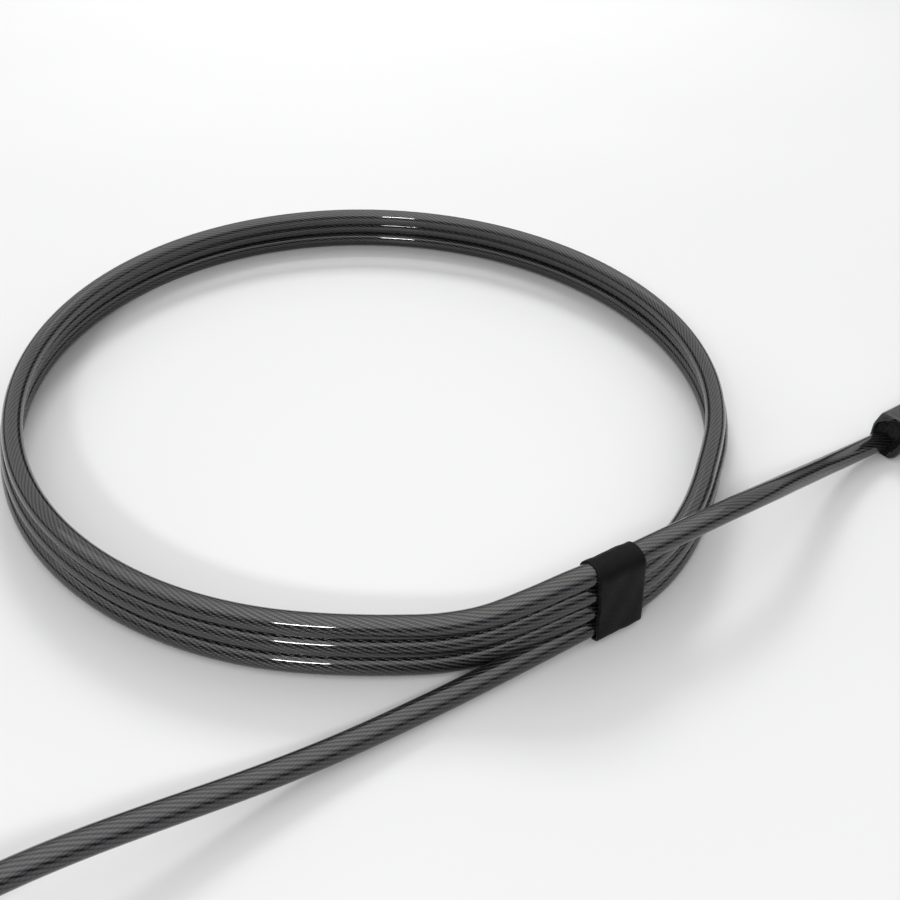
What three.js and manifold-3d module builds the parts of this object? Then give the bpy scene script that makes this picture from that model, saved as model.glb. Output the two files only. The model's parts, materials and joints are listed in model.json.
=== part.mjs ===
// Laptop cable lock: a four-dial combination head with a T-bar nose, a swivelling
// cable collar, and a jacketed steel cable wound in three turns with a sleeved loop end.
// Units are millimetres, +Z is up and the object lies on the plane z = 0. The origin is
// under the middle of the lock head. The lock axis runs along Y with the nose towards -Y,
// and the cable leaves the head along +X.

import * as THREE from 'three';
import { mergeVertices } from 'three/addons/utils/BufferGeometryUtils.js';
import Module from 'manifold-3d';

const wasm = await Module();
wasm.setup();

// ---- driving dimensions ----

const GAP = 0.3; // clearance between faces that meet

const HEAD = { x: -4.6, y: -24.6, radius: 11 }; // nose face and lock axis in the row frame
const SHELL_R = 10; // nose and rear housings
const DIAL = { radius: 9.8, bore: 6.8, width: 4.9, pitch: 5.3, first: 14.3, count: 4, digits: 10 };
const HUB = { bore: 4.9, rim: 6.15, radius: 6.5, tooth: 7.05, web: 2.0, width: 4.8 };
const CORE = { inner: 3.2, radius: 4.6, front: 3.1, back: 44.1 };
const TRAVEL = 3.8; // button stroke
const FIN = { width: 1.2, thick: 1.0, reach: 5.7, ahead: 1.4 };
const GATE_W = 1.9; // gate in each hub and slot in the core tube
const SPINDLE = { thin: 1.7, thick: 2.6, tip: 9.0, shoulder: 15.7, back: 48.0 };
const PIN = { radius: 0.8, offset: 2.4, front: -2.6, back: 2.5 }; // anti-rotation pins
const T_BAR = { length: 6.6, width: 2.6, thick: 1.8, front: -5.4, neck: 1.3 };
const CUP = { radius: 2.95, bore: 2.05, front: 4.4, floor: 4.9, back: 11.4 };
const CAM = { radius: 0.5, y: 10.1, reach: 2.8 };
const COLLAR = { bore: 7.6, radius: 11, front: 34.2, back: 41.3 };
const NECK = { radius: 7.4, groove: 6.7, front: 33.1, back: 41.6 };
const REAR = { back: 51.2, floor: 43.2, cavity: 8.0 };
const BUTTON = { radius: 5.6, flange: 7.4, flangeY: 48.2, back: 54.6 };
const EAR = { x: 17, radius: 3.2, inner: 3.0, outer: 5.0, root: 8.2 };
const BARREL = { radius: 3.9, front: 21.4, back: 33.2 };
const BOOT_END = 46;

const CABLE_D = 4.8;
const CABLE_R = CABLE_D / 2;
const COIL = { x: 159.5, bundle: 97.4, gather: 0.61, oval: [-2.2, 1.1], sway: -0.6 };
const TURNS = [
  { radius: 91.9, east: -0.4, north: 0.6 },
  { radius: 91.4, east: 0, north: 0.2 },
  { radius: 89.4, east: -0.9, north: -1.4 },
];
const STRAP = { offset: 2.3, width: 11.2, thick: 1.0, low: 1.1 };
const SLEEVE = { length: 24, low: 3.35, high: 8.45 }; // heights of the two cables in it
const CRIMP = { front: 6.5, length: 11, width: 6.6, height: 10.2 };

const COLLAR_Y = (COLLAR.front + COLLAR.back) / 2;
const COIL_H = TURNS.length * CABLE_D;

// ---- materials ----

const paint = (color, roughness, metalness = 0) =>
  new THREE.MeshStandardMaterial({ color, roughness, metalness });

const shellMetal = paint(0x1d1e21, 0.35, 0.9);
const blackPlastic = paint(0x141415, 0.35);
const steel = paint(0xb9bcc0, 0.28, 1);
const brass = paint(0xb08d4a, 0.35, 1);
const zinc = paint(0x8f9296, 0.42, 1);
const rubber = paint(0x1a1a1a, 0.85);
const springSteel = paint(0xa7aaad, 0.3, 1);
const aluminium = paint(0xc4c6c8, 0.45, 1);
const dialMetal = paint(0x2a2b2e, 0.4, 0.8);
const jacket = paint(0x2b2d31, 0.22);
const webbing = paint(0x121213, 0.75);

// ---- solids and booleans ----

function toSolid(geometry) {
  const bare = geometry.clone();
  bare.deleteAttribute('normal');
  bare.deleteAttribute('uv');
  const merged = mergeVertices(bare, 1e-4);
  const index = merged.index.array;
  const triangles = [];
  for (let i = 0; i < index.length; i += 3) {
    const [a, b, c] = [index[i], index[i + 1], index[i + 2]];
    if (a !== b && b !== c && c !== a) triangles.push(a, b, c);
  }
  const mesh = new wasm.Mesh({
    numProp: 3,
    vertProperties: new Float32Array(merged.attributes.position.array),
    triVerts: new Uint32Array(triangles),
  });
  return new wasm.Manifold(mesh);
}

function toGeometry(solid) {
  const mesh = solid.getMesh();
  const geometry = new THREE.BufferGeometry();
  geometry.setAttribute('position', new THREE.BufferAttribute(mesh.vertProperties, 3));
  geometry.setIndex(new THREE.BufferAttribute(mesh.triVerts, 1));
  geometry.computeVertexNormals();
  return geometry;
}

const join = (first, ...rest) =>
  toGeometry(rest.reduce((sum, g) => sum.add(toSolid(g)), toSolid(first)));

const carve = (first, ...rest) =>
  toGeometry(rest.reduce((left, g) => left.subtract(toSolid(g)), toSolid(first)));

// Solid of revolution about Y from [radius, y] corners given in order round the section.
function turned(corners, segments = 40) {
  const points = corners.map(([r, y]) => new THREE.Vector2(r, y));
  const onAxis = corners[0][0] === 0 && corners[corners.length - 1][0] === 0;
  if (!onAxis) points.push(points[0].clone());
  const geometry = new THREE.LatheGeometry(points, segments);
  return facingOut(geometry);
}

// Flips the winding of a closed geometry whose volume comes out negative.
function facingOut(geometry) {
  const flat = geometry.index ? geometry.toNonIndexed() : geometry;
  const p = flat.attributes.position;
  const [a, b, c] = [new THREE.Vector3(), new THREE.Vector3(), new THREE.Vector3()];
  let volume = 0;
  for (let i = 0; i < p.count; i += 3) {
    a.fromBufferAttribute(p, i);
    b.fromBufferAttribute(p, i + 1);
    c.fromBufferAttribute(p, i + 2);
    volume += a.dot(b.cross(c));
  }
  if (volume > 0) return geometry;
  const index = geometry.index.array;
  for (let i = 0; i < index.length; i += 3) [index[i], index[i + 1]] = [index[i + 1], index[i]];
  return geometry;
}

const ring = (inner, outer, y0, y1, segments = 40) =>
  turned([[inner, y0], [outer, y0], [outer, y1], [inner, y1]], segments);

const rod = (radius, y0, y1, segments = 24) =>
  turned([[0, y0], [radius, y0], [radius, y1], [0, y1]], segments);

function block(x0, x1, y0, y1, z0, z1) {
  const box = new THREE.BoxGeometry(x1 - x0, y1 - y0, z1 - z0);
  return box.translate((x0 + x1) / 2, (y0 + y1) / 2, (z0 + z1) / 2);
}

// A closed 2-D outline in (x, z), extruded from y0 to y1.
function plateAlongY(outline, holes, y0, y1) {
  const shape = new THREE.Shape(outline.map(([x, z]) => new THREE.Vector2(x, z)));
  shape.holes = holes.map((h) => new THREE.Path(h.map(([x, z]) => new THREE.Vector2(x, z))));
  const geometry = new THREE.ExtrudeGeometry(shape, { depth: y1 - y0, bevelEnabled: false });
  return geometry.rotateX(Math.PI / 2).translate(0, y1, 0);
}

// Outline of a toothed or notched wheel: count bumps of the given width between two radii.
function toothed(radius, tip, width, count, start = 0) {
  const outline = [];
  for (let i = 0; i < count; i += 1) {
    const middle = start + (i * 2 * Math.PI) / count;
    const half = width / 2;
    const at = (r, side) => {
      const angle = middle + side * Math.asin(half / r);
      return [r * Math.cos(angle), r * Math.sin(angle)];
    };
    outline.push(at(radius, -1), at(tip, -1), at(tip, 1), at(radius, 1));
    const between = middle + Math.PI / count;
    outline.push([radius * Math.cos(between), radius * Math.sin(between)]);
  }
  return outline;
}

// A round bar along a curve, closed at both ends.
function bar(curve, radius, sides, steps) {
  const section = new THREE.Shape();
  for (let i = 0; i < sides; i += 1) {
    const angle = (i * 2 * Math.PI) / sides;
    const corner = [radius * Math.cos(angle), radius * Math.sin(angle)];
    if (i === 0) section.moveTo(...corner);
    else section.lineTo(...corner);
  }
  section.closePath();
  return new THREE.ExtrudeGeometry(section, { steps, extrudePath: curve, bevelEnabled: false });
}

const pinAlongZ = (radius, z0, z1, x, y, segments = 24) =>
  rod(radius, z0, z1, segments).rotateX(Math.PI / 2).translate(x, y, 0);

const rodAlongX = (radius, x0, x1, y, segments = 24) =>
  rod(radius, -x1, -x0, segments).rotateZ(Math.PI / 2).translate(0, y, 0);

const object = new THREE.Group();
const head = new THREE.Group();
head.position.set(HEAD.x, HEAD.y, HEAD.radius);
object.add(head);

function place(parent, name, geometry, material) {
  const mesh = new THREE.Mesh(geometry, material);
  mesh.name = name;
  parent.add(mesh);
  return mesh;
}

// ---- lock head: nose ----

function noseHousing() {
  const recess = 8.9;
  const section = [
    [recess, 0], [SHELL_R - 0.6, 0], [SHELL_R, 0.6], [SHELL_R, 11.5],
    [HUB.bore, 11.5], [HUB.bore, 2.8], [recess, 2.8],
  ];
  return turned(section, 36);
}

const pinHoles = () => [-1, 1].map((side) =>
  rod(PIN.radius + 0.1, -1, 4, 12).translate(side * PIN.offset, 0, 0));

function addNose() {
  place(head, 'nose_housing', noseHousing(), shellMetal);
  place(head, 'nose_pad', ring(4.4, 8.6, -0.4, 0.8, 36), rubber);
  const plate = carve(ring(T_BAR.neck + 0.2, 8.6, 0.9, 2.5, 36), ...pinHoles());
  place(head, 'nose_plate', plate, steel);
  [-1, 1].forEach((side, i) => {
    const pin = rod(PIN.radius, PIN.front, PIN.back, 12).translate(side * PIN.offset, 0, 0);
    place(head, `anti_rotation_pin_${i + 1}`, pin, steel);
  });
}

// The T-bar stands across the line of the two pins while the lock is shut. Its cup holds a
// quarter-turn helical slot for the cam pin, so the button's stroke turns it by 90 degrees.
function tBar() {
  const { length, width, thick, front, neck } = T_BAR;
  const across = block(-width / 2, width / 2, front, front + thick, -length / 2, length / 2);
  const stem = turned([
    [0, front + thick - 0.2], [neck, front + thick - 0.2], [neck, 3.2], [2.6, 3.2],
    [2.6, CUP.front], [CUP.radius, CUP.front], [CUP.radius, CUP.back],
    [CUP.bore, CUP.back], [CUP.bore, CUP.floor], [0, CUP.floor],
  ], 24);
  return join(across, stem);
}

function camSlotCutters() {
  const cuts = [];
  const steps = 8;
  for (let i = -1; i <= steps + 1; i += 1) {
    const along = i / steps;
    const angle = (Math.min(Math.max(along, 0), 1) * Math.PI) / 2;
    const y = CAM.y - along * TRAVEL;
    const cut = rod(CAM.radius + 0.3, 1.2, 3.6, 8).rotateZ(-Math.PI / 2);
    cuts.push(cut.rotateY(angle).translate(0, y, 0));
  }
  return cuts;
}

// ---- lock head: core, spindle and dials ----

function coreTube() {
  const tube = ring(CORE.inner, CORE.radius, CORE.front, CORE.back, 28);
  const slot = block(-GATE_W / 2, GATE_W / 2, 11.3, 33.2, 0, 6);
  const leafBed = block(-1.1, 1.1, 11.6, 32.9, -6, -4.0);
  const clipGroove = ring(4.15, 5.5, 43.4, 43.95, 28);
  return carve(tube, slot, leafBed, clipGroove);
}

function detentLeaf() {
  const strip = block(-0.8, 0.8, 12, 32.5, -4.45, -4.1);
  const bumps = [];
  for (let k = 0; k < DIAL.count; k += 1) {
    const y = DIAL.first + k * DIAL.pitch;
    bumps.push(block(-0.6, 0.6, y - 0.5, y + 0.5, -4.7, -4.3));
  }
  return join(strip, ...bumps);
}

function spindle() {
  const { thin, thick, tip, shoulder, back } = SPINDLE;
  const shaft = turned([
    [0, tip], [thin, tip], [thin, shoulder], [thick, shoulder], [thick, back],
    [2.0, back], [2.0, back + 2.6], [0, back + 2.6],
  ], 28);
  const fins = [];
  for (let k = 0; k < DIAL.count; k += 1) {
    const y = DIAL.first + k * DIAL.pitch + FIN.ahead;
    fins.push(block(-FIN.width / 2, FIN.width / 2, y, y + FIN.thick, 0.5, FIN.reach));
  }
  const camHole = rod(CAM.radius + 0.08, -3, 3, 10).rotateZ(-Math.PI / 2).translate(0, CAM.y, 0);
  return carve(join(shaft, ...fins), camHole);
}

function codeHub() {
  const half = HUB.width / 2;
  const rim = ring(HUB.rim, HUB.radius, -half, half, 30);
  const round = toothed(HUB.bore, HUB.bore, 0.8, 12).reverse();
  const web = plateAlongY(toothed(HUB.radius - 0.05, HUB.tooth, 1.6, DIAL.digits), [round],
    -HUB.web / 2, HUB.web / 2);
  const gate = block(-GATE_W / 2, GATE_W / 2, -HUB.web, HUB.web, 4, 6.0);
  return carve(join(rim, web), gate);
}

function dial() {
  const outline = [];
  const grips = DIAL.digits;
  for (let i = 0; i < grips; i += 1) {
    const middle = (i * 2 * Math.PI) / grips;
    const half = Math.PI / grips;
    for (const t of [-0.72, -0.4, 0, 0.4, 0.72]) {
      const angle = middle + t * half;
      outline.push([DIAL.radius * Math.cos(angle), DIAL.radius * Math.sin(angle)]);
    }
    const groove = DIAL.radius - 0.55;
    const angle = middle + half;
    outline.push([groove * Math.cos(angle), groove * Math.sin(angle)]);
  }
  const bore = toothed(DIAL.bore, DIAL.bore + 0.55, 2.2, grips).reverse();
  return plateAlongY(outline, [bore], -DIAL.width / 2, DIAL.width / 2);
}

function addDials() {
  for (let k = 0; k < DIAL.count; k += 1) {
    const y = DIAL.first + k * DIAL.pitch;
    place(head, `dial_${k + 1}`, dial(), dialMetal).position.y = y;
    place(head, `code_hub_${k + 1}`, codeHub(), brass).position.y = y;
  }
}

// ---- lock head: rear housing, button and spring ----

function rearHousing() {
  return turned([
    [HUB.bore, NECK.front], [NECK.groove, NECK.front], [NECK.groove, 34.0],
    [NECK.radius, 34.0], [NECK.radius, NECK.back], [SHELL_R, NECK.back],
    [SHELL_R, REAR.back - 0.8], [SHELL_R - 0.8, REAR.back], [REAR.cavity, REAR.back],
    [REAR.cavity, REAR.floor], [HUB.bore, REAR.floor],
  ], 36);
}

function splitRing(inner, outer, y0, y1, opening, segments) {
  return carve(ring(inner, outer, y0, y1, segments), block(0, outer + 1, y0 - 1, y1 + 1,
    -opening / 2, opening / 2));
}

function pushButton() {
  const { radius, flange, flangeY, back } = BUTTON;
  return turned([
    [2.15, flangeY], [flange, flangeY], [flange, flangeY + 1.2],
    [radius, flangeY + 1.2], [radius, back - 0.7], [radius - 0.7, back],
    [3.3, back], [3.3, back - 2.2], [2.15, back - 2.2],
  ], 32);
}

function returnSpring() {
  const turns = 2.25;
  const wire = 0.28;
  const low = REAR.floor + wire + 0.1;
  const high = BUTTON.flangeY - wire - 0.1;
  const points = [];
  for (let i = 0; i <= turns * 16; i += 1) {
    const t = i / (turns * 16);
    const angle = t * turns * 2 * Math.PI;
    points.push(new THREE.Vector3(6.3 * Math.cos(angle), low + (high - low) * t,
      6.3 * Math.sin(angle)));
  }
  return bar(new THREE.CatmullRomCurve3(points), wire, 6, 36);
}

function resetScrew() {
  const disc = rod(3.0, BUTTON.back - 2.0, BUTTON.back - 0.2, 28);
  const slot = block(-3.5, 3.5, BUTTON.back - 0.9, BUTTON.back + 1, -0.45, 0.45);
  return carve(disc, slot);
}

function addRear() {
  place(head, 'rear_housing', rearHousing(), shellMetal);
  place(head, 'collar_retaining_ring', splitRing(6.8, 9.2, 33.2, 33.85, 3, 36), springSteel);
  place(head, 'core_clip', splitRing(4.25, 5.4, 43.45, 43.9, 2.4, 28), springSteel);
  place(head, 'button_retainer', ring(BUTTON.radius + GAP, REAR.cavity - 0.1, 49.7, 51.0, 32), blackPlastic);
  place(head, 'push_button', pushButton(), blackPlastic);
  place(head, 'return_spring', returnSpring(), springSteel);
  place(head, 'reset_screw', resetScrew(), steel);
}

function addCore() {
  place(head, 't_bar', carve(tBar(), ...camSlotCutters()), steel);
  place(head, 'core_tube', coreTube(), brass);
  place(head, 'detent_leaf', detentLeaf(), springSteel);
  place(head, 'spindle', spindle(), steel);
  const cam = rod(CAM.radius, -1.6, CAM.reach, 10).rotateZ(-Math.PI / 2).translate(0, CAM.y, 0);
  place(head, 'cam_pin', cam, steel);
}

// ---- lock head: swivel collar and cable fitting ----

function swivelCollar() {
  const { bore, radius, front, back } = COLLAR;
  const body = turned([
    [bore, front], [radius - 0.5, front], [radius, front + 0.5], [radius, back - 0.5],
    [radius - 0.5, back], [bore, back],
  ], 40);
  const ears = [-1, 1].map((side) => {
    const z0 = side > 0 ? EAR.inner : -EAR.outer;
    const z1 = side > 0 ? EAR.outer : -EAR.inner;
    const end = pinAlongZ(EAR.radius, z0, z1, EAR.x, COLLAR_Y, 28);
    const root = block(EAR.root, EAR.x, COLLAR_Y - EAR.radius, COLLAR_Y + EAR.radius, z0, z1);
    return join(end, root);
  });
  const bores = pinAlongZ(1.5, -7, 7, EAR.x, COLLAR_Y, 24);
  return carve(join(body, ...ears), bores);
}

function hingePin() {
  const outer = EAR.outer + 0.1;
  const shank = pinAlongZ(1.4, -outer - 0.3, outer + 0.3, EAR.x, COLLAR_Y, 24);
  const heads = [-1, 1].map((side) => {
    const z0 = side > 0 ? outer : -outer - 0.8;
    return pinAlongZ(2.2, z0, z0 + 0.8, EAR.x, COLLAR_Y, 24);
  });
  return join(shank, ...heads);
}

function endFitting() {
  const half = EAR.inner - GAP;
  const eye = pinAlongZ(3.0, -half, half, EAR.x, COLLAR_Y, 28);
  const tongue = block(EAR.x, BARREL.front + 1, COLLAR_Y - 3.0, COLLAR_Y + 3.0, -half, half);
  const barrel = rodAlongX(BARREL.radius, BARREL.front, BARREL.back, COLLAR_Y, 32);
  const socket = rodAlongX(2.6, BARREL.front + 3, BARREL.back + 1, COLLAR_Y, 24);
  return carve(join(eye, tongue, barrel), pinAlongZ(1.5, -7, 7, EAR.x, COLLAR_Y, 24), socket);
}

function cableBoot() {
  const start = BARREL.back + GAP;
  const bore = CABLE_R + GAP;
  const boot = turned([
    [bore, start], [BARREL.radius - 0.1, start], [BARREL.radius - 0.1, start + 3],
    [bore + 0.6, BOOT_END], [bore, BOOT_END],
  ], 32);
  return boot.rotateZ(-Math.PI / 2).translate(0, COLLAR_Y, 0);
}

function addCableEnd() {
  place(head, 'swivel_collar', swivelCollar(), zinc);
  place(head, 'hinge_pin', hingePin(), steel);
  place(head, 'cable_end_fitting', endFitting(), zinc);
  place(head, 'cable_boot', cableBoot(), rubber);
}

// ---- cable ----

// Route points are [x, y from the lead's line, z]. The lead leaves the head level, sinks to
// the floor and runs straight to the coil.
const LEAD_ROUTE = [
  [28.9, 0, 11], [35, 0, 11], [41.4, 0, 11], [49, 0, 10.75], [57, 0, 9.9], [65, 0, 8.6],
  [73, 0, 7.1], [81, 0, 5.6], [90, 0, 4.2], [100, 0, 3.1], [112, 0, 2.5], [130, 0, 2.42],
];

// The tail leaves the top of the bundle, crosses the turns and sinks to the loop sleeve.
const TAIL_ROUTE = [
  [151.5, 0.1, 17.2], [157.5, 0.25, 17.2], [165.5, 0.55, 17.2], [172.5, 0.7, 17.2],
  [181.5, 0.8, 17.2], [190, 1.0, 17.05], [198, 1.45, 16.45], [206, 2.45, 15.1],
  [212, 3.6, 13.6], [219, 5.15, 11.6], [226.5, 6.8, 9.4], [233.5, 8.35, 7.4],
  [240, 9.55, 5.8], [246, 10.45, 4.6], [252, 11.05, 3.8], [258.4, 11.4, 3.4], [264.6, 11.7, 3.35],
];

// The loop, in the sleeve's own frame: along the sleeve, across it, and height.
const LOOP_ROUTE = [
  [17.8, 0, 3.35], [24, 0, 3.35], [30, -0.8, 3.25], [37, -3.4, 2.9], [45, -7.9, 2.55],
  [54, -13.8, 2.45], [63.5, -18.8, 2.42], [74, -21, 2.42], [84.5, -18.2, 2.42], [91.2, -12.4, 2.42],
  [94.9, -4.4, 2.42], [94.9, 4.4, 2.42], [91.2, 12.4, 2.42], [84.5, 18.2, 2.42], [74, 21, 2.42],
  [63.5, 18.8, 2.5], [54, 13.8, 3.1], [45, 7.9, 4.5], [37, 3.4, 6.5], [30, 0.8, 8.05],
  [24, 0, 8.45], [17.8, 0, 8.45],
];

// Section of the moulded sleeve: across it from the cable's line, and height.
const SLEEVE_OUTLINE = [
  [-3.6, 0], [0.8, 0], [2.3, 1.0], [3.1, 3.0], [3.1, 7.3], [1.9, 10.9],
  [0.6, 11.7], [-3.6, 11.7], [-5.2, 10.6], [-6.0, 8.0], [-6.0, 3.0], [-5.0, 1.0],
];

const LEAD_Y = HEAD.y + COLLAR_Y;
const SLEEVE_AT = { x: 258.4, y: LEAD_Y + 11.4, turn: 0.05 };
const STRAP_X = COIL.x + STRAP.offset;

const curveOf = (points) =>
  new THREE.CatmullRomCurve3(points.map(([x, y, z]) => new THREE.Vector3(x, y, z)));

// Centre-line radius of a turn at an angle round the coil. Hand-wound turns are a little out
// of round, and the strap gathers them all to the bundle's radius at -90 degrees.
function turnRadius({ radius, east, north }, angle) {
  const [ovalX, ovalY] = COIL.oval;
  const free = radius + east * Math.cos(angle) + north * Math.sin(angle)
    + ovalX * Math.cos(2 * angle) + ovalY * Math.sin(2 * angle) + COIL.sway * Math.sin(3 * angle);
  const away = Math.abs(angle + Math.PI / 2);
  const t = Math.max(0, 1 - Math.min(away, 2 * Math.PI - away) / COIL.gather);
  return free + (COIL.bundle - free) * t * t * (3 - 2 * t);
}

// The three stacked turns as one solid, as wide as they spread and notched for the strap.
function coilSolid() {
  const steps = 96;
  const edge = (pick, grow) => Array.from({ length: steps }, (_, i) => {
    const angle = (i * 2 * Math.PI) / steps - Math.PI / 2;
    const radius = pick(...TURNS.map((turn) => turnRadius(turn, angle))) + grow;
    return new THREE.Vector2(radius * Math.cos(angle), radius * Math.sin(angle));
  });
  const shape = new THREE.Shape(edge(Math.max, CABLE_R));
  shape.holes = [new THREE.Path(edge(Math.min, -CABLE_R).reverse())];
  const solid = new THREE.ExtrudeGeometry(shape, { depth: COIL_H, bevelEnabled: false });
  solid.translate(COIL.x, LEAD_Y + COIL.bundle, 0);
  const half = STRAP.width / 2 + GAP;
  const notch = block(STRAP_X - half, STRAP_X + half, LEAD_Y - 6, LEAD_Y + 12, -1, STRAP.low + GAP);
  return carve(solid, notch);
}

function roundedOutline(y0, y1, z0, z1, corner) {
  const outline = [];
  const centres = [[y1 - corner, z0 + corner], [y1 - corner, z1 - corner],
    [y0 + corner, z1 - corner], [y0 + corner, z0 + corner]];
  centres.forEach(([y, z], quarter) => {
    for (let i = 0; i <= 4; i += 1) {
      const angle = ((quarter - 1) * Math.PI) / 2 + (i * Math.PI) / 8;
      outline.push([y + corner * Math.cos(angle), z + corner * Math.sin(angle)]);
    }
  });
  return outline;
}

// Extrudes a section in (y, z) along X from x0 to x1.
function plateAlongX(outline, holes, x0, x1) {
  const shape = new THREE.Shape(outline.map(([y, z]) => new THREE.Vector2(y, z)));
  shape.holes = holes.map((h) => new THREE.Path(h.map(([y, z]) => new THREE.Vector2(y, z))));
  const geometry = new THREE.ExtrudeGeometry(shape, { depth: x1 - x0, bevelEnabled: false });
  const turn = new THREE.Matrix4().makeBasis(
    new THREE.Vector3(0, 1, 0), new THREE.Vector3(0, 0, 1), new THREE.Vector3(1, 0, 0));
  return geometry.applyMatrix4(turn).translate(x0, 0, 0);
}

// A closed band round the turns, the lead under them and the tail on top.
function tieStrap() {
  const inner = { y0: LEAD_Y - CABLE_R - 0.4, y1: LEAD_Y + 3.9, z1: COIL_H + CABLE_D + 0.8 };
  const t = STRAP.thick;
  const outside = roundedOutline(inner.y0 - t, inner.y1 + t, STRAP.low - t, inner.z1 + t, 1.5);
  const inside = roundedOutline(inner.y0, inner.y1, STRAP.low, inner.z1, 0.5).reverse();
  return plateAlongX(outside, [inside], STRAP_X - STRAP.width / 2, STRAP_X + STRAP.width / 2);
}

function loopSleeve() {
  const { length, low, high } = SLEEVE;
  const body = plateAlongX(SLEEVE_OUTLINE, [], 0, length);
  const bore = CABLE_R + GAP;
  const through = rodAlongX(bore, -1, length + 1, 0).translate(0, 0, low);
  const upper = rodAlongX(bore, length / 2, length + 1, 0).translate(0, 0, high);
  const pocket = crimpBody(CRIMP.front - GAP, CRIMP.front + CRIMP.length + GAP, GAP);
  return carve(body, through, upper, pocket);
}

function crimpBody(u0, u1, grow) {
  const half = CRIMP.width / 2 + grow;
  const middle = (SLEEVE.low + SLEEVE.high) / 2;
  const top = CRIMP.height / 2 + grow - half;
  const outline = [];
  [-1, 1].forEach((side) => {
    for (let i = 0; i <= 10; i += 1) {
      const angle = (side > 0 ? 0 : Math.PI) + (i * Math.PI) / 10;
      outline.push([half * Math.cos(angle), middle + side * top + half * Math.sin(angle)]);
    }
  });
  return plateAlongX(outline, [], u0, u1);
}

function loopCrimp() {
  const { front, length } = CRIMP;
  const bores = [SLEEVE.low, SLEEVE.high].map((z) =>
    rodAlongX(1.8, front - 1, front + length + 1, 0, 20).translate(0, 0, z));
  return carve(crimpBody(front, front + length, 0), ...bores);
}

function addCable() {
  const lead = bar(curveOf(LEAD_ROUTE), CABLE_R, 10, 14).translate(0, LEAD_Y, 0);
  const tail = bar(curveOf(TAIL_ROUTE), CABLE_R, 10, 16).translate(0, LEAD_Y, 0);
  place(object, 'cable_lead', lead, jacket);
  place(object, 'cable_coil', coilSolid(), jacket);
  place(object, 'cable_tail', tail, jacket);
  place(object, 'tie_strap', tieStrap(), webbing);
}

function addLoop() {
  const end = new THREE.Group();
  end.position.set(SLEEVE_AT.x, SLEEVE_AT.y, 0);
  end.rotation.z = SLEEVE_AT.turn;
  object.add(end);
  place(end, 'loop_sleeve', loopSleeve(), blackPlastic);
  place(end, 'loop_crimp', loopCrimp(), aluminium);
  place(end, 'cable_loop', bar(curveOf(LOOP_ROUTE), CABLE_R, 10, 34), jacket);
}

addNose();
addCore();
addDials();
addRear();
addCableEnd();
addCable();
addLoop();

export default object;
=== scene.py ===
"""Laptop cable lock: the looks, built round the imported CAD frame. Metres, +Z up."""

import json
import math

import bmesh
import bpy
import numpy as np
from mathutils import Euler, Matrix, Vector


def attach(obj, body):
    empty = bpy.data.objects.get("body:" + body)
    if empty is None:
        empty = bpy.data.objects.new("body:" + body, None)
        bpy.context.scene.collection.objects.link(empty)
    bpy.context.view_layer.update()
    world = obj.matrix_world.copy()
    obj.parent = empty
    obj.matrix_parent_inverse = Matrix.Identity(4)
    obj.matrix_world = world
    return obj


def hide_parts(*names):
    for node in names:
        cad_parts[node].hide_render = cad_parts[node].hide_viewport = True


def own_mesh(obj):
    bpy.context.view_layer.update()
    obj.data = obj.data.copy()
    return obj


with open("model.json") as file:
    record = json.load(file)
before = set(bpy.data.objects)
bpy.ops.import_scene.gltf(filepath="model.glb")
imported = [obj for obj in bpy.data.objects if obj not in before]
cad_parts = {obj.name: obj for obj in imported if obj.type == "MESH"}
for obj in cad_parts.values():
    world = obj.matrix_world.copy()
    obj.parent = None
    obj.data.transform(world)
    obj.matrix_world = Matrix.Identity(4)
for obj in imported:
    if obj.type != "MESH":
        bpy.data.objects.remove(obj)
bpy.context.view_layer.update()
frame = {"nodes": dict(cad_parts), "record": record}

MM = 0.001
TAU = 2 * math.pi

# ---- driving sizes, in millimetres ----

CABLE_D = 4.8
CABLE_R = CABLE_D / 2
LEAD_Y = 13.15
COIL_X = 159.5
BUNDLE = 97.4  # centre of the coil to the bundle under the strap
COIL_Y = LEAD_Y + BUNDLE
GATHER = 0.61  # radians either side of the strap over which the turns spread
OVAL = (-2.2, 1.1)  # how far the turns are from round, in waves of twice the angle
SWAY = -0.6  # and of three times the angle
LIFT, LIFT_SPREAD = 1.05, 0.28  # the turns' rise at the strap, and over how many radians
NEST = 0.07  # share of that rise that each higher turn loses
TURNS = [(91.9, -0.4, 0.6), (91.4, 0.0, 0.2), (89.4, -0.9, -1.4)]  # radius, east, north
CLIMB = (16.2, 3.5)  # degrees: width of each climb, and where it ends before the strap
STRAP_X = COIL_X + 2.3
STRAP_W = 11.2
STRAP_THICK = 0.62
STRAP_OVERLAP = 9.0
STRAP_START = 12.0  # way round the section where the inner end starts, so both ends are hidden
STRAP_STEP = 0.45  # between the rows of the strap's mesh
STRAP_MIDDLE, STRAP_LEAN = 10.0, 0.077  # it leans back by this much a mm above its middle
LAYER, LAYER_RUN = 0.75, 5.0  # step up on to the inner end, and the way over which it rises
FLOOR_GAP = 0.02
BOOT_START, BOOT_END = 28.9, 41.4  # along the lead
CLEARANCE = 0.3  # between the cable and a hole that it runs through
SLEEVE_AT = (258.4, LEAD_Y + 11.4)
SLEEVE_TURN = 0.05
SLEEVE_LENGTH = 24.0
SLEEVE_LOW, SLEEVE_HIGH = 3.35, 8.45  # heights of the two cables in the sleeve
SLEEVE_OUTLINE = [  # across and height, in the sleeve's own frame
    (-3.6, 0), (0.8, 0), (2.3, 1.0), (3.1, 3.0), (3.1, 7.3), (1.9, 10.9),
    (0.6, 11.7), (-3.6, 11.7), (-5.2, 10.6), (-6.0, 8.0), (-6.0, 3.0), (-5.0, 1.0),
]
HEAD_X, HEAD_Y, HEAD_Z = -4.6, -24.6, 11.0  # where the lock's axis meets the nose's face
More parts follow.
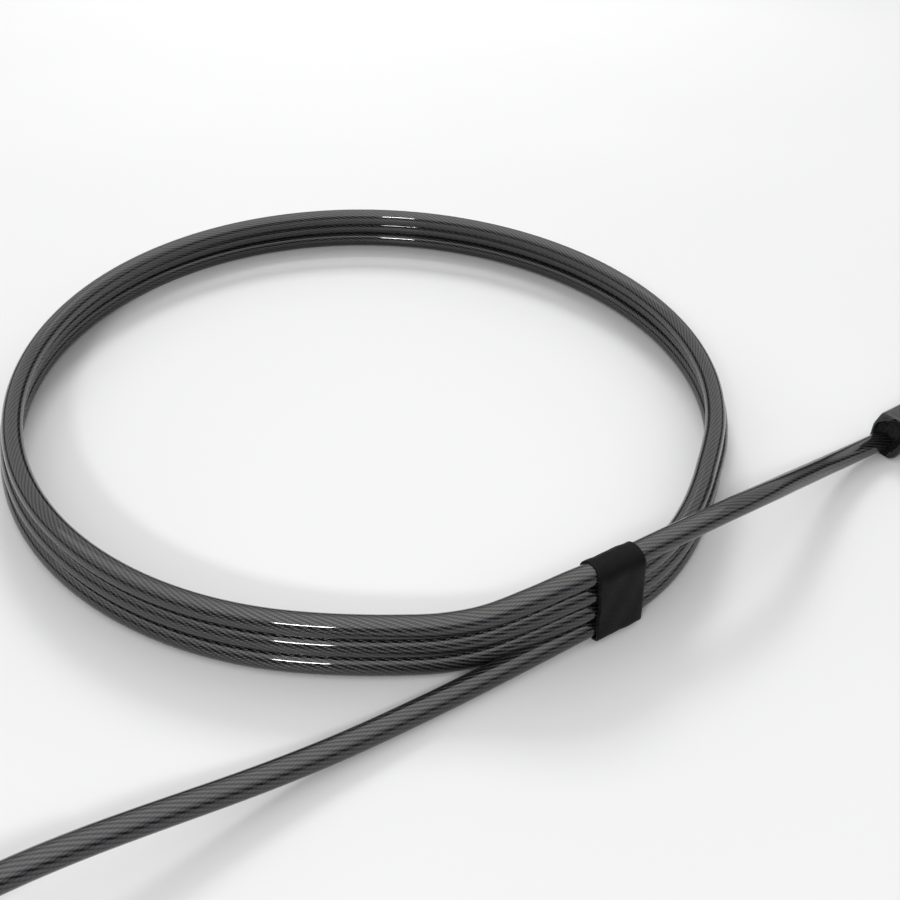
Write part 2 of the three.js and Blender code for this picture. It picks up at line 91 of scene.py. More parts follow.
DIAL_R, DIAL_FIRST, DIAL_PITCH, DIALS, DIGITS = 9.8, 14.3, 5.3, 4, 10
DIGIT_SIZE = 4.0

LEAD_ROUTE = [  # x, y from the lead's line, height
    (BOOT_START, 0, 11), (35, 0, 11), (BOOT_END, 0, 11), (49, 0, 10.75), (57, 0, 9.9), (65, 0, 8.6),
    (73, 0, 7.1), (81, 0, 5.6), (90, 0, 4.2), (100, 0, 3.1), (112, 0, 2.5), (130, 0, 2.42),
]
TAIL_ROUTE = [  # as the lead's
    (165.5, 0.55, 17.2), (172.5, 0.7, 17.2),
    (181.5, 0.8, 17.2), (190, 1.0, 17.05), (198, 1.45, 16.45), (206, 2.45, 15.1),
    (212, 3.6, 13.6), (219, 5.15, 11.6), (226.5, 6.8, 9.4), (233.5, 8.35, 7.4),
    (240, 9.55, 5.8), (246, 10.45, 4.6), (252, 11.05, 3.8), (258.4, 11.4, 3.4), (264.6, 11.7, 3.35),
]
LOOP_ROUTE = [  # along, across and height, in the sleeve's own frame
    (17.8, 0, 3.35), (24, 0, 3.35), (30, -0.8, 3.25), (37, -3.4, 2.9), (45, -7.9, 2.55),
    (54, -13.8, 2.45), (63.5, -18.8, 2.42), (74, -21, 2.42), (84.5, -18.2, 2.42),
    (91.2, -12.4, 2.42), (94.9, -4.4, 2.42), (94.9, 4.4, 2.42), (91.2, 12.4, 2.42),
    (84.5, 18.2, 2.42), (74, 21, 2.42), (63.5, 18.8, 2.5), (54, 13.8, 3.1), (45, 7.9, 4.5),
    (37, 3.4, 6.5), (30, 0.8, 8.05), (24, 0, 8.45), (17.8, 0, 8.45),
]

# ---- camera ----


def add_camera():
    data = bpy.data.cameras.new("camera")
    data.sensor_width = 36.0
    data.lens = 41.01
    camera = bpy.data.objects.new("camera", data)
    at = Vector((COIL_X - 104.87, COIL_Y - 202.32, 154.59)) * MM
    turn = Euler([math.radians(a) for a in (53.03, -1.02, -32.20)])
    camera.matrix_world = Matrix.Translation(at) @ turn.to_matrix().to_4x4()
    bpy.context.scene.collection.objects.link(camera)
    bpy.context.scene.camera = camera


add_camera()

# ---- routes ----


def smoothstep(t):
    t = min(max(t, 0.0), 1.0)
    return t * t * (3 - 2 * t)


def coil_point(turns):
    """A point of the coil, in mm, after that many turns from the strap."""
    k = min(int(turns), len(TURNS) - 1)
    part = turns - k
    angle = part * TAU - math.pi / 2
    radius, east, north = TURNS[k]
    free = (radius + east * math.cos(angle) + north * math.sin(angle)
            + OVAL[0] * math.cos(2 * angle) + OVAL[1] * math.sin(2 * angle)
            + SWAY * math.sin(3 * angle))
    away = min(part, 1 - part) * TAU
    held = smoothstep(1 - away / GATHER)
    r = free + (BUNDLE - free) * held
    width, end = (a / 360 for a in CLIMB)
    climb = smoothstep((part - (1 - width - end)) / width)
    lift = LIFT * smoothstep(1 - away / LIFT_SPREAD)
    z = CABLE_R + FLOOR_GAP + lift * (1 - NEST * k) + CABLE_D * (k + climb)
    return (COIL_X + r * math.cos(angle), COIL_Y + r * math.sin(angle), z)


def distances(points):
    """The way along a line of points to each of them."""
    return np.concatenate([[0], np.cumsum(np.linalg.norm(np.diff(points, axis=0), axis=1))])


def resample(points, step):
    """Points evenly spaced along a Catmull-Rom curve through the given ones."""
    p = np.array(points, float)
    p = np.vstack([2 * p[0] - p[1], p, 2 * p[-1] - p[-2]])
    fine = []
    for i in range(1, len(p) - 2):
        a, b, c, d = p[i - 1:i + 3]
        for t in np.linspace(0, 1, 24, endpoint=False):
            fine.append(0.5 * (2 * b + (c - a) * t + (2 * a - 5 * b + 4 * c - d) * t * t
                               + (3 * b - a - 3 * c + d) * t ** 3))
    fine.append(p[-2])
    fine = np.array(fine)
    run = distances(fine)
    at = np.linspace(0, run[-1], max(2, int(round(run[-1] / step)) + 1))
    return np.stack([np.interp(at, run, fine[:, k]) for k in range(3)], 1), run[-1]


def in_sleeve(u, v, z):
    """From the sleeve's own frame (along, across, height) to the row frame, in mm."""
    c, s = math.cos(SLEEVE_TURN), math.sin(SLEEVE_TURN)
    return (SLEEVE_AT[0] + c * u - s * v, SLEEVE_AT[1] + s * u + c * v, z)


def cable_route():
    """The whole cable in mm, from the end fitting to the crimp at the end of the loop."""
    points = [(x, LEAD_Y + y, z) for x, y, z in LEAD_ROUTE]
    per_turn = 72
    points += [coil_point(i / per_turn) for i in range(0, len(TURNS) * per_turn + 1)]
    points += [(x, LEAD_Y + y, z) for x, y, z in TAIL_ROUTE]
    points += [in_sleeve(*p) for p in LOOP_ROUTE[1:]]
    return points


# ---- mesh helpers ----


def link(name, mesh, smooth=True):
    obj = bpy.data.objects.new(name, mesh)
    bpy.context.scene.collection.objects.link(obj)
    if smooth:
        mesh.polygons.foreach_set("use_smooth", [True] * len(mesh.polygons))
    return obj


def apply_modifiers(obj):
    bpy.context.view_layer.update()
    depsgraph = bpy.context.evaluated_depsgraph_get()
    mesh = bpy.data.meshes.new_from_object(obj.evaluated_get(depsgraph))
    obj.modifiers.clear()
    obj.data = mesh


def face_out(mesh):
    shape = bmesh.new()
    shape.from_mesh(mesh)
    bmesh.ops.recalc_face_normals(shape, faces=shape.faces)
    shape.to_mesh(mesh)
    shape.free()


def smooth_below(obj, degrees):
    """Smooth shading, with the edges sharper than that angle kept crisp."""
    mesh = obj.data
    mesh.polygons.foreach_set("use_smooth", [True] * len(mesh.polygons))
    mesh.set_sharp_from_angle(angle=math.radians(degrees))


def ring_faces(rings, sides, closed=False):
    """Quads between rings of that many points each, back to the first ring if closed."""
    faces = []
    for i in range(rings if closed else rings - 1):
        here, there = i * sides, (i + 1) % rings * sides
        for j in range(sides):
            k = (j + 1) % sides
            faces.append((here + j, here + k, there + k, there + j))
    return faces


def frames_along(path):
    """Two normals at each point of a path, carried along it without twist."""
    tangent = np.gradient(path, axis=0)
    tangent /= np.linalg.norm(tangent, axis=1)[:, None]
    normal = np.empty_like(path)
    n = np.array([0, 0, 1.0])
    for i, t in enumerate(tangent):
        n = n - t * n.dot(t)
        n /= np.linalg.norm(n)
        normal[i] = n
    return normal, np.cross(tangent, normal)


def tube(name, path, radius, sides):
    """A tube along the path, with its length and turn written to a UV map called rope."""
    up, side = frames_along(path)
    around = np.arange(sides) * TAU / sides
    rings = (path[:, None, :] + radius * (np.cos(around)[None, :, None] * up[:, None, :]
                                          + np.sin(around)[None, :, None] * side[:, None, :]))
    run = distances(path)
    n = len(path)
    faces = ring_faces(n, sides)
    uvs = []
    for u0, u1 in zip(run[:-1], run[1:]):
        for j in range(sides):
            v0, v1 = j / sides, (j + 1) / sides
            uvs += [(u0, v0), (u0, v1), (u1, v1), (u1, v0)]
    faces.append(tuple(range(sides))[::-1])
    faces.append(tuple((n - 1) * sides + j for j in range(sides)))
    uvs += [(0, 0)] * sides + [(run[-1], 0)] * sides
    mesh = bpy.data.meshes.new(name)
    mesh.from_pydata(rings.reshape(-1, 3).tolist(), [], faces)
    layer = mesh.uv_layers.new(name="rope")
    layer.data.foreach_set("uv", np.array(uvs, np.float32).ravel())
    mesh.validate()
    mesh.update()
    return link(name, mesh)


# ---- materials ----


def material(name):
    m = bpy.data.materials.new(name)
    m.use_nodes = True
    tree = m.node_tree
    return m, tree, tree.nodes["Principled BSDF"]


def node(tree, kind, **values):
    n = tree.nodes.new(kind)
    for key, value in values.items():
        setattr(n, key, value)
    return n


def math_node(tree, operation, a, b=None):
    n = node(tree, "ShaderNodeMath", operation=operation)
    for socket, value in zip(n.inputs, (a, b)):
        if value is None:
            continue
        if isinstance(value, (int, float)):
            socket.default_value = value
        else:
            tree.links.new(value, socket)
    return n.outputs[0]


def ramp(tree, value, stops):
    n = node(tree, "ShaderNodeValToRGB")
    e = n.color_ramp.elements
    while len(e) < len(stops):
        e.new(0.5)
    for item, (position, colour) in zip(e, stops):
        item.position = position
        item.color = (*colour, 1)
    tree.links.new(value, n.inputs[0])
    return n.outputs[0]


def noise(tree, scale, detail, vector=None):
    n = node(tree, "ShaderNodeTexNoise")
    n.inputs["Scale"].default_value = scale
    n.inputs["Detail"].default_value = detail
    if vector is None:
        vector = node(tree, "ShaderNodeTexCoord").outputs["Object"]
    tree.links.new(vector, n.inputs["Vector"])
    return n.outputs["Fac"]


def bump(tree, height, strength, distance):
    n = node(tree, "ShaderNodeBump")
    n.inputs["Strength"].default_value = strength
    n.inputs["Distance"].default_value = distance
    tree.links.new(height, n.inputs["Height"])
    return n.outputs["Normal"]


STRAND_LAY = 0.041  # metres along the rope for one turn of its strands
WIRE_LAY = -0.034  # and of the fine wires in them, laid the other way
STRANDS = 18  # ridges that show round the rope
WIRES = 26


def jacket_material():
    """Smoke-black clear jacket over a steel rope: the rope is the base, the jacket the coat. The rope's
    colour carries painted shade, dark navy, in the gaps between strands and a painted highlight on
    their crowns.
    """
    m, tree, shader = material("cable_jacket")
    uv = node(tree, "ShaderNodeUVMap", uv_map="rope")
    split = node(tree, "ShaderNodeSeparateXYZ")
    tree.links.new(uv.outputs[0], split.inputs[0])
    along, turn = split.outputs[0], split.outputs[1]

    def ridges(count, lay):
        """Rounded ridges, 0 to 1, that many round the rope, each turning once in a lay."""
        twist = math_node(tree, "SUBTRACT", turn, math_node(tree, "MULTIPLY", along, 1 / lay))
        part = math_node(tree, "FRACT", math_node(tree, "MULTIPLY", twist, count))
        return math_node(tree, "SINE", math_node(tree, "MULTIPLY", part, math.pi))

    strands, wires = ridges(STRANDS, STRAND_LAY), ridges(WIRES, WIRE_LAY)
    height = math_node(tree, "ADD", math_node(tree, "MULTIPLY", strands, 0.7),
                       math_node(tree, "MULTIPLY", wires, 0.3))
    stretched = node(tree, "ShaderNodeMapping")
    stretched.inputs["Scale"].default_value = (90, 14, 1)
    tree.links.new(uv.outputs[0], stretched.inputs["Vector"])
    mottle = noise(tree, 6.0, 3, stretched.outputs[0])
    # Base colour follows the strand relief: painted shade, dark navy, in the gaps and a painted
    # highlight, light brownish grey, on the crowns, with a random mottle on top.
    shade = math_node(tree, "ADD", math_node(tree, "MULTIPLY", height, 0.85),
                      math_node(tree, "MULTIPLY", mottle, 0.25))
    tree.links.new(ramp(tree, shade, [
        (0.28, (0.004, 0.006, 0.018)), (0.52, (0.028, 0.030, 0.040)),
        (0.78, (0.105, 0.099, 0.090)), (1.0, (0.165, 0.155, 0.140))]), shader.inputs["Base Color"])
    shader.inputs["Specular Tint"].default_value = (0.25, 0.25, 0.27, 1)
    shader.inputs["Metallic"].default_value = 0.85
    shader.inputs["Roughness"].default_value = 0.36
    tree.links.new(bump(tree, height, 0.9, 0.00026), shader.inputs["Normal"])
    shader.inputs["Coat Weight"].default_value = 0.9
    shader.inputs["Coat Roughness"].default_value = 0.05
    shader.inputs["Coat IOR"].default_value = 1.6
    shader.inputs["Coat Tint"].default_value = (0.42, 0.425, 0.45, 1)
    return m


WARP, WEFT = 8800.0, 6600.0  # radians of weave to a metre along the strap and across it


def webbing_material():
    """Black woven tape: crossing threads under a fine fuzz."""
    m, tree, shader = material("webbing")
    uv = node(tree, "ShaderNodeUVMap", uv_map="cloth")
    split = node(tree, "ShaderNodeSeparateXYZ")
    tree.links.new(uv.outputs[0], split.inputs[0])
    warp = math_node(tree, "SINE", math_node(tree, "MULTIPLY", split.outputs[0], WARP))
    weft = math_node(tree, "SINE", math_node(tree, "MULTIPLY", split.outputs[1], WEFT))
    crossing = math_node(tree, "MULTIPLY", warp, weft)
    weave = math_node(tree, "ADD", math_node(tree, "MULTIPLY", crossing, 0.5), 0.5)
    fuzz = noise(tree, 900, 4)
    both = math_node(tree, "ADD", math_node(tree, "MULTIPLY", weave, 0.6),
                     math_node(tree, "MULTIPLY", fuzz, 0.6))
    tree.links.new(ramp(tree, both, [
        (0.2, (0.0010, 0.0010, 0.0012)), (0.9, (0.0045, 0.0045, 0.0050))]), shader.inputs["Base Color"])
    shader.inputs["Roughness"].default_value = 0.55
    shader.inputs["Specular IOR Level"].default_value = 0.1
    shader.inputs["Sheen Weight"].default_value = 0.02
    shader.inputs["Sheen Roughness"].default_value = 0.4
    tree.links.new(bump(tree, both, 0.5, 0.00012), shader.inputs["Normal"])
    return m


def moulded_material(name, colour, roughness, coat=0.0):
    """Moulded plastic or rubber: a fine even grain and a few faint handling marks."""
    m, tree, shader = material(name)
    grain = noise(tree, 2600, 3)
    marks = noise(tree, 130, 5)
    light = tuple(c * 1.35 for c in colour)
    tree.links.new(ramp(tree, marks, [(0.35, colour), (0.75, light)]), shader.inputs["Base Color"])
    rough = ramp(tree, marks, [(0.3, (roughness * 0.85,) * 3), (0.8, (min(1, roughness * 1.25),) * 3)])
    tree.links.new(rough, shader.inputs["Roughness"])
    tree.links.new(bump(tree, grain, 0.12, 0.00004), shader.inputs["Normal"])
    shader.inputs["Coat Weight"].default_value = coat
    shader.inputs["Coat Roughness"].default_value = 0.06
    return m


def metal_material(name, colour, roughness):
    """Turned or drawn metal: fine directional streaks and slight tone changes."""
    m, tree, shader = material(name)
    coords = node(tree, "ShaderNodeTexCoord").outputs["Object"]
    scale = node(tree, "ShaderNodeMapping")
    scale.inputs["Scale"].default_value = (40, 1200, 40)
    tree.links.new(coords, scale.inputs["Vector"])
    streaks = noise(tree, 6.0, 4, scale.outputs[0])
    tone = noise(tree, 90, 4)
    light = tuple(min(1, c * 1.3) for c in colour)
    tree.links.new(ramp(tree, tone, [(0.3, colour), (0.75, light)]), shader.inputs["Base Color"])
    low, high = roughness * 0.8, min(1, roughness * 1.3)
    tree.links.new(ramp(tree, streaks, [(0.3, (low,) * 3), (0.7, (high,) * 3)]),
                   shader.inputs["Roughness"])
    shader.inputs["Metallic"].default_value = 1.0
    tree.links.new(bump(tree, streaks, 0.12, 0.00003), shader.inputs["Normal"])
    return m


MATERIALS = {
    "cable_jacket": jacket_material(),
    "webbing": webbing_material(),
    "black_plastic": moulded_material("black_plastic", (0.005, 0.005, 0.006), 0.12, coat=0.2),
    "rubber": moulded_material("rubber", (0.016, 0.016, 0.017), 0.6),
    "shell_metal": metal_material("shell_metal", (0.035, 0.036, 0.040), 0.34),
    "dial_metal": metal_material("dial_metal", (0.055, 0.056, 0.060), 0.38),
    "digit_fill": moulded_material("digit_fill", (0.62, 0.61, 0.57), 0.45),
    "brass": metal_material("brass", (0.52, 0.36, 0.13), 0.3),
    "steel": metal_material("steel", (0.46, 0.47, 0.49), 0.26),
    "zinc": metal_material("zinc", (0.20, 0.205, 0.215), 0.36),
    "spring_steel": metal_material("spring_steel", (0.38, 0.39, 0.40), 0.3),
    "aluminium": metal_material("aluminium", (0.62, 0.63, 0.64), 0.42),
}


def finish_as(obj, slot, body):
    """Gives a new piece its material and record slot, and lets it ride on a body."""
    obj.data.materials.clear()
    obj.data.materials.append(MATERIALS[slot])
    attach(obj, body)
    return obj


# ---- cable ----


def add_cable():
    route, length = resample(cable_route(), 1.5)
    path = route * MM
    cable = tube("cable", path, CABLE_R * MM, 20)
    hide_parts("cable_lead", "cable_coil", "cable_tail", "cable_loop")
    finish_as(cable, "cable_jacket", "cable")
    return cable, path, length * MM


cable, cable_path, cable_length = add_cable()
print("cable length", round(cable_length, 4))

# ---- strap ----


def strap_outline():
    """The strap's section round the bundle, in mm from the lead's line: (across, height)."""
    near, far = -2.8, 3.2
    low, high = 0.66, 20.0
    corners = [(near + 1.6, low + 1.6, 1.6), (far - 1.6, low + 1.6, 1.6),
               (far - 2.9, high - 2.9, 2.9), (near + 2.8, high - 2.8, 2.8)]  # centre and radius
    points = []
    for quarter, (y, z, r) in enumerate(corners):
        for i in range(7):
            a = math.pi + quarter * math.pi / 2 + i * math.pi / 12
            points.append((y + r * math.cos(a), z + r * math.sin(a)))
    return points


def strap_ring():
    """The section as a closed line of close points in the strap's plane."""
    corners = [np.array((0, y, z)) for y, z in strap_outline()]
    fine = []
    for a, b in zip(corners, corners[1:] + corners[:1]):
        n = max(1, int(np.linalg.norm(b - a) / STRAP_STEP))
        fine += [a + (b - a) * t for t in np.linspace(0, 1, n, endpoint=False)]
    return np.array(fine + fine[:1])


def add_strap():
    """A tape wound once round the bundle, one end lapped over the other."""
    ring = strap_ring()
    run = distances(ring)
    total = run[-1]
    middle = ring[:-1].mean(axis=0)
    length = total + STRAP_OVERLAP
    rows, columns = int(length / STRAP_STEP), 26
    phase = 3 * np.random.default_rng(7).normal()

    def ring_at(way):
        return np.array([np.interp(way % total, run, ring[:, k]) for k in range(3)])

    verts, uvs = [], []
    for i in range(rows + 1):
        s = length * i / rows
        way = STRAP_START + s
        p = ring_at(way)
        out = np.cross(ring_at(way + 0.4) - ring_at(way - 0.4), (1, 0, 0))
        out /= np.linalg.norm(out)
        if out.dot(p - middle) < 0:
            out = -out
        layer = LAYER * smoothstep((s - total + LAYER_RUN) / LAYER_RUN)
        lean = STRAP_LEAN * (p[2] - STRAP_MIDDLE)
        fray = 0.14 * math.sin(0.55 * s + phase) + 0.07 * math.sin(1.9 * s + 1.3)
        for j in range(columns + 1):
            x = (j / columns - 0.5) * STRAP_W
            if j == 0:
                x += fray
            crown = 0.05 * (1 - (2 * j / columns - 1) ** 2)
            ripple = 0.05 * math.sin(0.9 * x + 0.5 * s) + 0.03 * math.sin(1.7 * x - 0.8 * s + 1.1)
            offset = crown + ripple + layer
            verts.append((STRAP_X + x - lean, LEAD_Y + p[1] + out[1] * offset, p[2] + out[2] * offset))
            uvs.append((s * MM, x * MM))
    faces = []
    for i in range(rows):
        for j in range(columns):
            a = i * (columns + 1) + j
            faces.append((a, a + 1, a + columns + 2, a + columns + 1))
    mesh = bpy.data.meshes.new("strap")
    mesh.from_pydata([tuple(c * MM for c in v) for v in verts], [], faces)
    loop_uvs = [uvs[v] for f in faces for v in f]
    mesh.uv_layers.new(name="cloth").data.foreach_set("uv", np.array(loop_uvs, np.float32).ravel())
    strap = link("strap", mesh)
    thick = strap.modifiers.new("thick", "SOLIDIFY")
    thick.thickness = STRAP_THICK * MM
    thick.offset = 0
    apply_modifiers(strap)
    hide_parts("tie_strap")
    finish_as(strap, "webbing", "cable")
    print("strap length", round(length, 1))
    return strap


strap = add_strap()

# ---- loop sleeve ----


def round_corners(corners, reach, steps=5):
    """A closed outline with each corner replaced by a short curve that starts at that reach."""
    rounded = []
    count = len(corners)
    for i, corner in enumerate(corners):
        p = np.array(corner, float)
        before, after = (np.array(corners[(i + k) % count], float) for k in (-1, 1))
        cut = min(reach, 0.45 * np.linalg.norm(before - p), 0.45 * np.linalg.norm(after - p))
        a = p + (before - p) / np.linalg.norm(before - p) * cut
        b = p + (after - p) / np.linalg.norm(after - p) * cut
        rounded += [tuple((1 - t) ** 2 * a + 2 * t * (1 - t) * p + t * t * b)
                    for t in np.linspace(0, 1, steps)]
    return rounded


def evenly(outline, count, centre):
    """Points where that many rays from the centre meet a closed outline round it."""
    p = np.array(outline) - centre
    angle = np.unwrap(np.arctan2(p[:, 1], p[:, 0]))
    angle = np.concatenate([angle, [angle[0] + TAU]])
    p = np.vstack([p, p[:1]])
    wanted = angle[0] + np.arange(count) * TAU / count
    return np.stack([np.interp(wanted, angle, p[:, k]) for k in range(2)], 1) + centre


def slot_outline(radius, low, high):
    """A flat-sided hole round two cables, one over the other."""
    points = []
    count = 24
    for i in range(count):
        a = -math.pi / 2 + i * TAU / count
        z = high if math.sin(a) > 0.01 else low
        points.append((radius * math.cos(a), z + radius * math.sin(a)))
    return points


def add_sleeve():
    """The moulded sleeve: a rounded octagonal body with a dished mouth for the cable."""
    sides = 96
    hole = CABLE_R + CLEARANCE
    middle = np.array([-1.4, 5.85])
    front_centre = np.array([0, SLEEVE_LOW])
    back_centre = np.array([0, (SLEEVE_LOW + SLEEVE_HIGH) / 2])
    body = evenly(round_corners(SLEEVE_OUTLINE, 0.45), sides, middle)
    lip = evenly(round_corners(SLEEVE_OUTLINE, 0.8), sides, front_centre)
    front = evenly([(hole * math.cos(a), SLEEVE_LOW + hole * math.sin(a))
                    for a in np.arange(48) * TAU / 48], sides, front_centre)
    back = evenly(slot_outline(hole, SLEEVE_LOW, SLEEVE_HIGH), sides, back_centre)

    def shrunk(k):
        return middle + (body - middle) * k

    dish = [(2.4, 0.15), (1.1, 0.5), (0.35, 0.78), (0.05, 0.88)]  # depth, and share of the lip
    rings = [(6.4, front), (3.2, front)]
    rings += [(u, lip * k + front * (1 - k)) for u, k in dish]
    rings += [(0.12, shrunk(0.955)), (0.4, shrunk(0.985)), (0.9, body)]
    rings += [(u, body) for u in np.linspace(2.5, SLEEVE_LENGTH - 2.5, 10)]
    rings += [(SLEEVE_LENGTH - 0.9, body), (SLEEVE_LENGTH - 0.3, shrunk(0.975)),
              (SLEEVE_LENGTH, shrunk(0.93)), (SLEEVE_LENGTH, back), (SLEEVE_LENGTH - 4, back)]
    verts = [in_sleeve(u, v, z) for u, outline in rings for v, z in outline]
    faces = ring_faces(len(rings), sides)
    last = (len(rings) - 1) * sides
    faces.append(tuple(range(sides)))
    faces.append(tuple(last + j for j in reversed(range(sides))))
    mesh = bpy.data.meshes.new("sleeve")
    mesh.from_pydata([tuple(c * MM for c in v) for v in verts], [], faces)
    face_out(mesh)
    sleeve = link("sleeve", mesh)
    smooth_below(sleeve, 38)
    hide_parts("loop_sleeve")
    return finish_as(sleeve, "black_plastic", "cable")


sleeve = add_sleeve()

# ---- lock head: finer copies of the solids that show ----


def refined(name, slot, body, edge, sharp=38):
    """A piece with the CAD solid's shape, its flat faces made whole and its edges rounded."""
    shape = bmesh.new()
    shape.from_mesh(frame["nodes"][name].data)
    bmesh.ops.remove_doubles(shape, verts=shape.verts, dist=0.01 * MM)
    bmesh.ops.dissolve_limit(shape, angle_limit=math.radians(1.0), verts=shape.verts,
                             edges=shape.edges)
    mesh = bpy.data.meshes.new(name + "_fine")
    shape.to_mesh(mesh)
    shape.free()
    piece = link(name + "_fine", mesh)
    bevel = piece.modifiers.new("edges", "BEVEL")
    bevel.width = edge * MM
    bevel.segments = 3
    bevel.limit_method = "ANGLE"
    bevel.angle_limit = math.radians(sharp)
    apply_modifiers(piece)
    smooth_below(piece, sharp)
    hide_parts(name)
    return finish_as(piece, slot, body)


SLOT_OF = {s["node"]: s["material_slot"] for s in frame["record"]["subparts"]}
BODY_OF = {n: body for body, parts in frame["record"]["behaviour"]["bodies"].items() for n in parts}
EDGES = {  # rounding of each visible solid's edges, in mm
    "nose_housing": 0.3, "nose_pad": 0.2, "nose_plate": 0.1, "anti_rotation_pin_1": 0.2,
    "anti_rotation_pin_2": 0.2, "t_bar": 0.25, "rear_housing": 0.25, "push_button": 0.3,
    "button_retainer": 0.1, "reset_screw": 0.12, "swivel_collar": 0.3, "hinge_pin": 0.25,
    "cable_end_fitting": 0.25,
}
refined_pieces = {name: refined(name, SLOT_OF[name], BODY_OF[name], edge)
                  for name, edge in EDGES.items()}


def head_turned(name, profile, segments=96):
    """A solid of revolution about the cable's line from (radius, x) corners, in mm."""
    corners = round_corners(profile, 0.35, 4)
    around = np.arange(segments) * TAU / segments
    verts = [(x * MM, (LEAD_Y + r * math.cos(a)) * MM, (HEAD_Z + r * math.sin(a)) * MM)
             for r, x in corners for a in around]
    mesh = bpy.data.meshes.new(name)
    mesh.from_pydata(verts, [], ring_faces(len(corners), segments, closed=True))
    face_out(mesh)
    piece = link(name, mesh)
    smooth_below(piece, 40)
    return piece


def add_boot():
    """The rubber strain relief, with rings moulded into its taper so that it bends evenly."""
    wide, narrow, bore = 3.8, 3.3, CABLE_R + CLEARANCE
    flange, groove, tip = 2.6, 0.42, 0.8
    rings = 5
    pitch = (BOOT_END - BOOT_START - flange - tip) / rings
    profile = [(bore, BOOT_START), (wide, BOOT_START), (wide, BOOT_START + flange)]
    for i in range(rings):
        x = BOOT_START + flange + i * pitch
        r = wide + (narrow - wide) * (i + 1) / rings
        profile += [(r - groove, x + 0.15), (r - groove, x + 0.75), (r, x + 0.9), (r, x + pitch)]
    profile += [(narrow, BOOT_END), (bore, BOOT_END)]
    boot = head_turned("boot", profile)
    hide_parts("cable_boot")
    return finish_as(boot, "rubber", "cable")


boot = add_boot()


def cut_across(mesh, step):
    """Cuts a flat glyph into strips up its height, so that it can follow a curve."""
    shape = bmesh.new()
    shape.from_mesh(mesh)
    reach = DIGIT_SIZE / 2 + 0.1
    for y in np.arange(-reach, reach + 0.1, step):
        everything = shape.verts[:] + shape.edges[:] + shape.faces[:]
        bmesh.ops.bisect_plane(shape, geom=everything, plane_co=(0, y, 0), plane_no=(0, 1, 0))
    shape.to_mesh(mesh)
    shape.free()


def add_digits(index):
    """The ten digits round one dial, raised a little and wrapped to its rim."""
    y = HEAD_Y + DIAL_FIRST + index * DIAL_PITCH
    verts, faces = [], []
    for digit in range(DIGITS):
        curve = bpy.data.curves.new("digit", "FONT")
        curve.body = str(digit)
        curve.size = DIGIT_SIZE
        curve.extrude = 0.06
        curve.align_x = "CENTER"
        curve.align_y = "CENTER"
        curve.resolution_u = 4
        text = bpy.data.objects.new("digit", curve)
        bpy.context.scene.collection.objects.link(text)
        bpy.context.view_layer.update()
        depsgraph = bpy.context.evaluated_depsgraph_get()
        mesh = bpy.data.meshes.new_from_object(text.evaluated_get(depsgraph))
        cut_across(mesh, 0.3)
        start = len(verts)
        middle = digit * TAU / DIGITS
        for v in mesh.vertices:
            tx, ty, tz = v.co
            a = math.pi / 2 - middle - ty / DIAL_R
            r = DIAL_R - 0.02 + tz
            verts.append(((HEAD_X + r * math.sin(a)) * MM, (y + tx) * MM,
                          (HEAD_Z + r * math.cos(a)) * MM))
        faces += [tuple(start + i for i in p.vertices) for p in mesh.polygons]
        bpy.data.objects.remove(text)
        bpy.data.meshes.remove(mesh)
        bpy.data.curves.remove(curve)
    mesh = bpy.data.meshes.new(f"dial_{index + 1}_digits")
    mesh.from_pydata(verts, [], faces)
    mesh.update()
    digits = link(f"dial_{index + 1}_digits", mesh, smooth=False)
    return finish_as(digits, "digit_fill", f"dial_{index + 1}")


SPRING = {"radius": 6.3, "wire": 0.28, "low": 43.58, "high": 47.82, "turns": 2.25}


def add_spring():
    """The button's return spring, which is squeezed towards the housing's floor."""
    turns = SPRING["turns"]
    t = np.linspace(0, 1, int(turns * 40))
    a = t * turns * TAU
    path = np.stack([HEAD_X + SPRING["radius"] * np.cos(a),
                     HEAD_Y + SPRING["low"] + (SPRING["high"] - SPRING["low"]) * t,
                     HEAD_Z + SPRING["radius"] * np.sin(a)], 1) * MM
    spring = tube("spring", path, SPRING["wire"] * MM, 10)
    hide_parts("return_spring")
    finish_as(spring, "spring_steel", "head")
    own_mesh(spring)
    return spring


add_spring()

for index in range(DIALS):
    name = f"dial_{index + 1}"
    refined(name, "dial_metal", name, 0.18, sharp=24)
    add_digits(index)

# ---- CAD nodes that stay, with their record's finish ----

for name, obj in frame["nodes"].items():
    slot = SLOT_OF.get(name)
    if slot in MATERIALS:
        obj.data.materials.clear()
        obj.data.materials.append(MATERIALS[slot])

# ---- floor and light ----


def add_floor():
    bpy.ops.mesh.primitive_plane_add(size=6, location=(COIL_X * MM, COIL_Y * MM, 0))
    floor = bpy.context.object
    floor.name = "floor"
    m, tree, shader = material("floor")
    tone = noise(tree, 3.0, 2)
    tree.links.new(ramp(tree, tone, [(0.3, (0.70, 0.70, 0.705)), (0.8, (0.74, 0.74, 0.745))]),
                   shader.inputs["Base Color"])
    shader.inputs["Roughness"].default_value = 0.3
    shader.inputs["Specular IOR Level"].default_value = 0.15
    floor.data.materials.append(m)


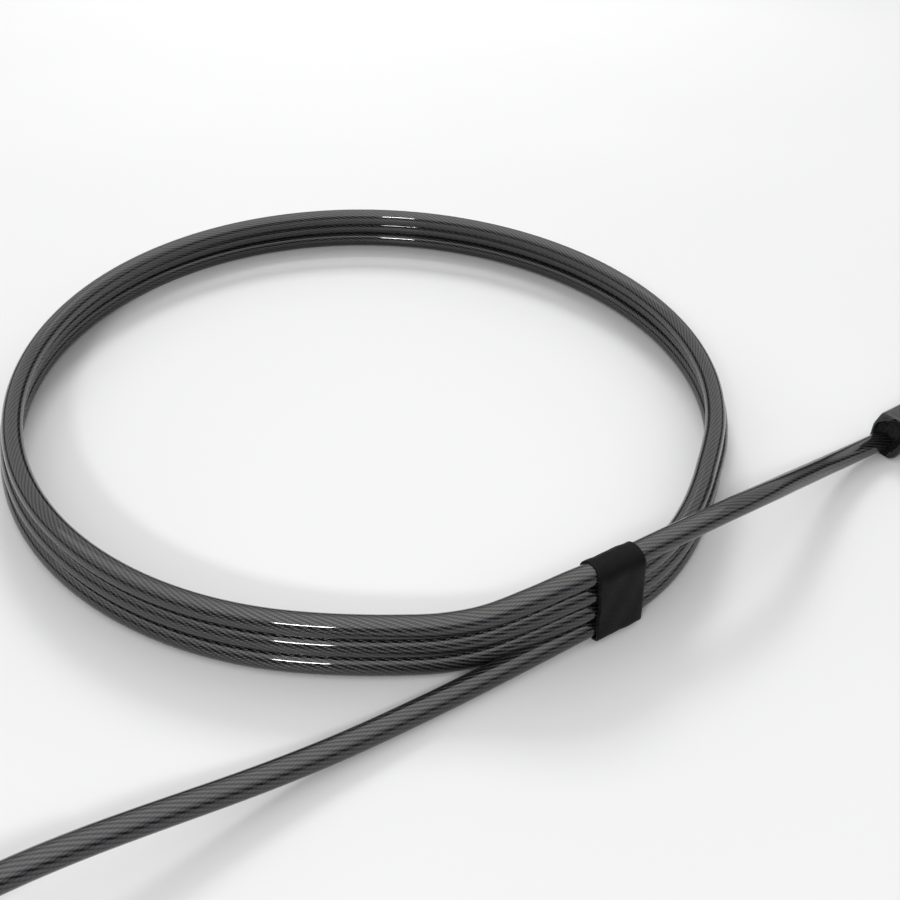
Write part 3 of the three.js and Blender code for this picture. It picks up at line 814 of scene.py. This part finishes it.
def area_light(name, at, aim, size, power):
    data = bpy.data.lights.new(name, "AREA")
    data.shape = "RECTANGLE"
    data.size, data.size_y = size
    data.energy = power
    lamp = bpy.data.objects.new(name, data)
    at, aim = Vector(at), Vector(aim)
    lamp.location = at
    lamp.rotation_euler = (aim - at).to_track_quat("-Z", "Y").to_euler()
    bpy.context.scene.collection.objects.link(lamp)
    return lamp


DARK_SIDE = math.radians(-122)  # where the dome's dark rim reaches highest, behind the camera


def add_world():
    """A bright dome overhead that darkens towards the horizon, so gloss has something to show."""
    world = bpy.data.worlds.new("studio")
    world.use_nodes = True
    tree = world.node_tree
    background = tree.nodes["Background"]
    direction = node(tree, "ShaderNodeTexCoord").outputs["Generated"]
    split = node(tree, "ShaderNodeSeparateXYZ")
    tree.links.new(direction, split.inputs[0])
    towards_camera = node(tree, "ShaderNodeVectorMath", operation="DOT_PRODUCT")
    tree.links.new(direction, towards_camera.inputs[0])
    towards_camera.inputs[1].default_value = (0.4 * math.cos(DARK_SIDE), 0.4 * math.sin(DARK_SIDE), 0)
    shade = math_node(tree, "MAXIMUM", towards_camera.outputs["Value"], 0.0)
    height = math_node(tree, "SUBTRACT", split.outputs[2], shade)
    dome = ramp(tree, height, [(0.12, (0.05, 0.052, 0.06)), (0.28, (1, 1, 1))])
    plain = node(tree, "ShaderNodeMix", data_type="RGBA")  # sockets 6 and 7 are its two colours
    tree.links.new(node(tree, "ShaderNodeLightPath").outputs["Is Camera Ray"], plain.inputs[0])
    tree.links.new(dome, plain.inputs[6])
    plain.inputs[7].default_value = (0.85, 0.85, 0.86, 1)
    tree.links.new(plain.outputs[2], background.inputs[0])
    background.inputs[1].default_value = 0.92
    bpy.context.scene.world = world


def polar(azimuth, elevation, distance):
    a, e = math.radians(azimuth), math.radians(elevation)
    return Vector((math.cos(a) * math.cos(e), math.sin(a) * math.cos(e), math.sin(e))) * distance


def add_light():
    centre = Vector((COIL_X, COIL_Y, 0)) * MM
    key = area_light("key", centre + polar(62, 42, 1.0), centre, (0.34, 0.26), 4.5)
    key.visible_glossy = False
    area_light("strip", centre + polar(-139, 32, 1.0), centre, (0.20, 0.07), 3.0)
    overhead = area_light("overhead", centre + Vector((0, 0, 1)), centre, (2.0, 2.0), 10)
    overhead.visible_diffuse = False


add_floor()
add_world()
add_light()
bpy.context.scene.view_settings.view_transform = "Standard"
